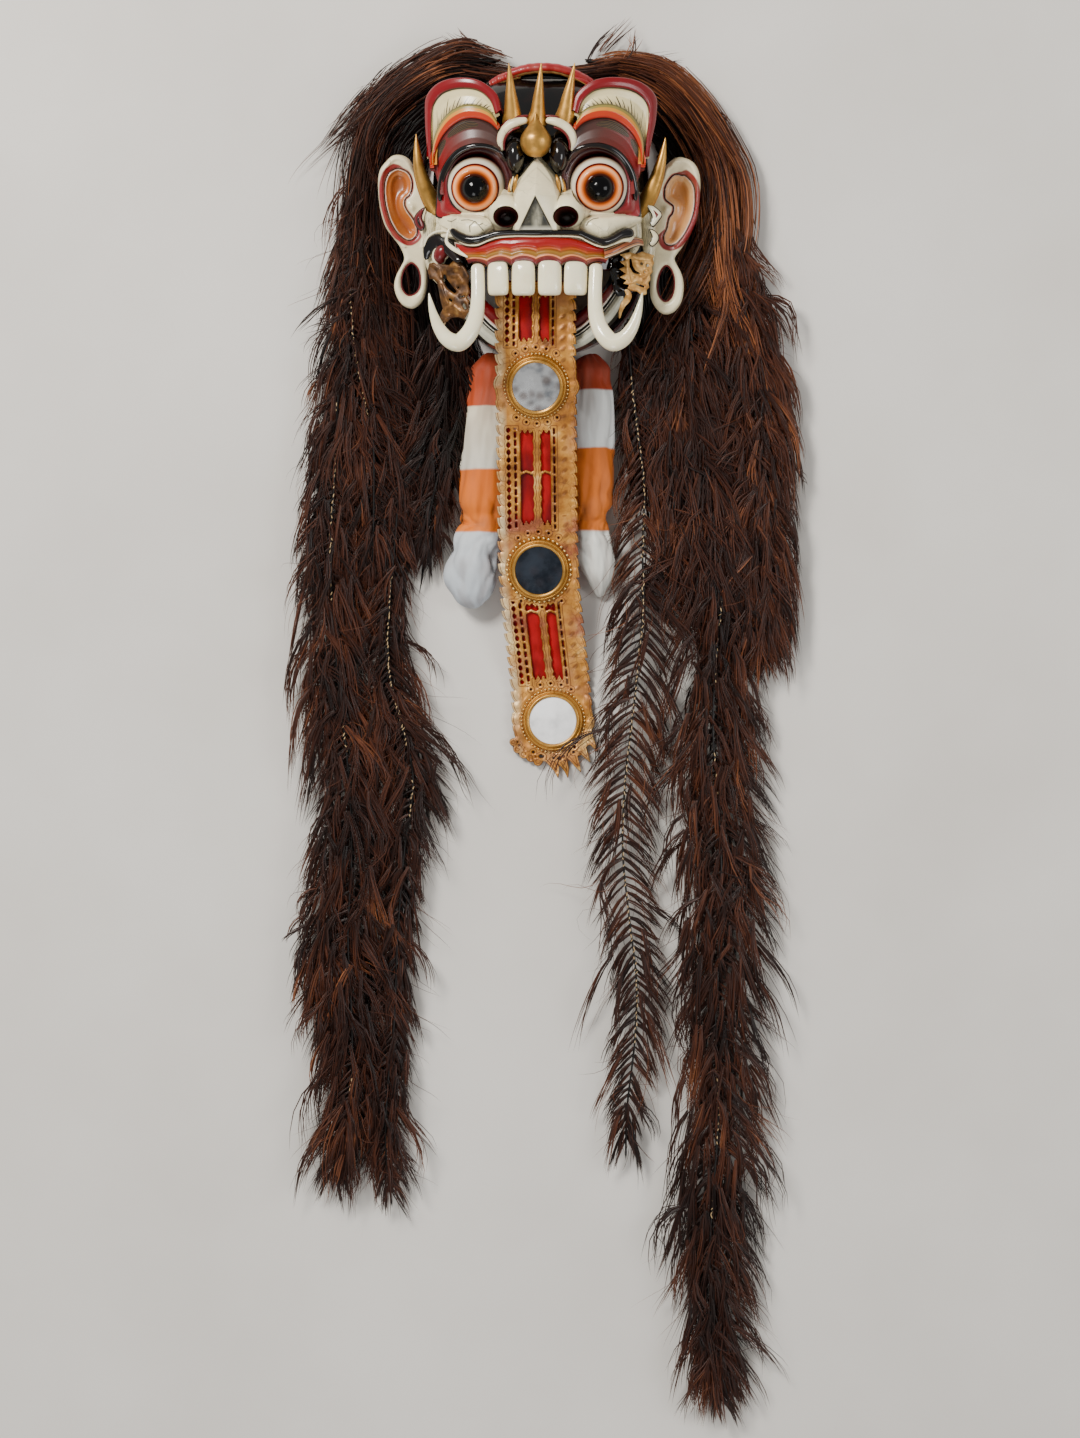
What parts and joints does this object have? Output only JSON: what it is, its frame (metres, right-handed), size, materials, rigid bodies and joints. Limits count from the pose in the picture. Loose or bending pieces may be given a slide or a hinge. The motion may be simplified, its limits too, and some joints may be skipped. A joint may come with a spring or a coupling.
{
  "type": "dance mask",
  "caption": "Carved and painted demon dance mask with horns, tusks, long mirrored tongue, stuffed cloth rolls and long locks of hair, lying face up.",
  "frame": {"origin": "bottom centre of the whole object's box, on the floor it lies on", "axes": "+Z out of the face, +Y towards the crown, -Y along tongue and hair, +X to the viewer's right"},
  "size_m": [0.583, 1.5986, 0.193],
  "materials": {
    "painted_wood": "lacquered white, red and black paint on carved wood",
    "ivory_lacquer": "ivory-white lacquer, glossy",
    "gilded_wood": "antique gold paint, satin",
    "gilded_leather": "cut and tooled leather, worn gold",
    "red_leather": "painted red with an orange and gold edge",
    "red_cloth": "red velvet",
    "roll_cloth": "cotton in bands of red-orange, white and orange",
    "hair": "dark brown fibre with red-brown lights",
    "mirror_glass": "flat silvered glass"
  },
  "bodies": {
    "root": {"cheek_ornament_left": "gilded_leather", "cheek_ornament_right": "gilded_leather", "crown_band": "red_leather", "ear_left": "painted_wood", "ear_right": "painted_wood", "forehead_drop": "gilded_wood", "hair_crown": "hair", "horn_left": "gilded_wood", "horn_middle": "gilded_wood", "horn_right": "gilded_wood", "lock_left_cheek": "hair", "lock_left_inner": "hair", "lock_left_outer": "hair", "lock_left_temple": "hair", "lock_right_breast": "hair", "lock_right_cheek": "hair", "lock_right_long": "hair", "lock_right_temple": "hair", "mask": "painted_wood", "mirror_lower": "mirror_glass", "mirror_middle": "mirror_glass", "mirror_rim_lower": "gilded_leather", "mirror_rim_middle": "gilded_leather", "mirror_rim_upper": "gilded_leather", "mirror_upper": "mirror_glass", "roll_left": "roll_cloth", "roll_right": "roll_cloth", "temple_horn_left": "gilded_wood", "temple_horn_right": "gilded_wood", "tongue_cloth": "red_cloth", "tongue_leather": "gilded_leather", "tooth_1": "ivory_lacquer", "tooth_2": "ivory_lacquer", "tooth_3": "ivory_lacquer", "tooth_4": "ivory_lacquer", "tusk_left": "ivory_lacquer", "tusk_right": "ivory_lacquer"}
  },
  "joints": []
}
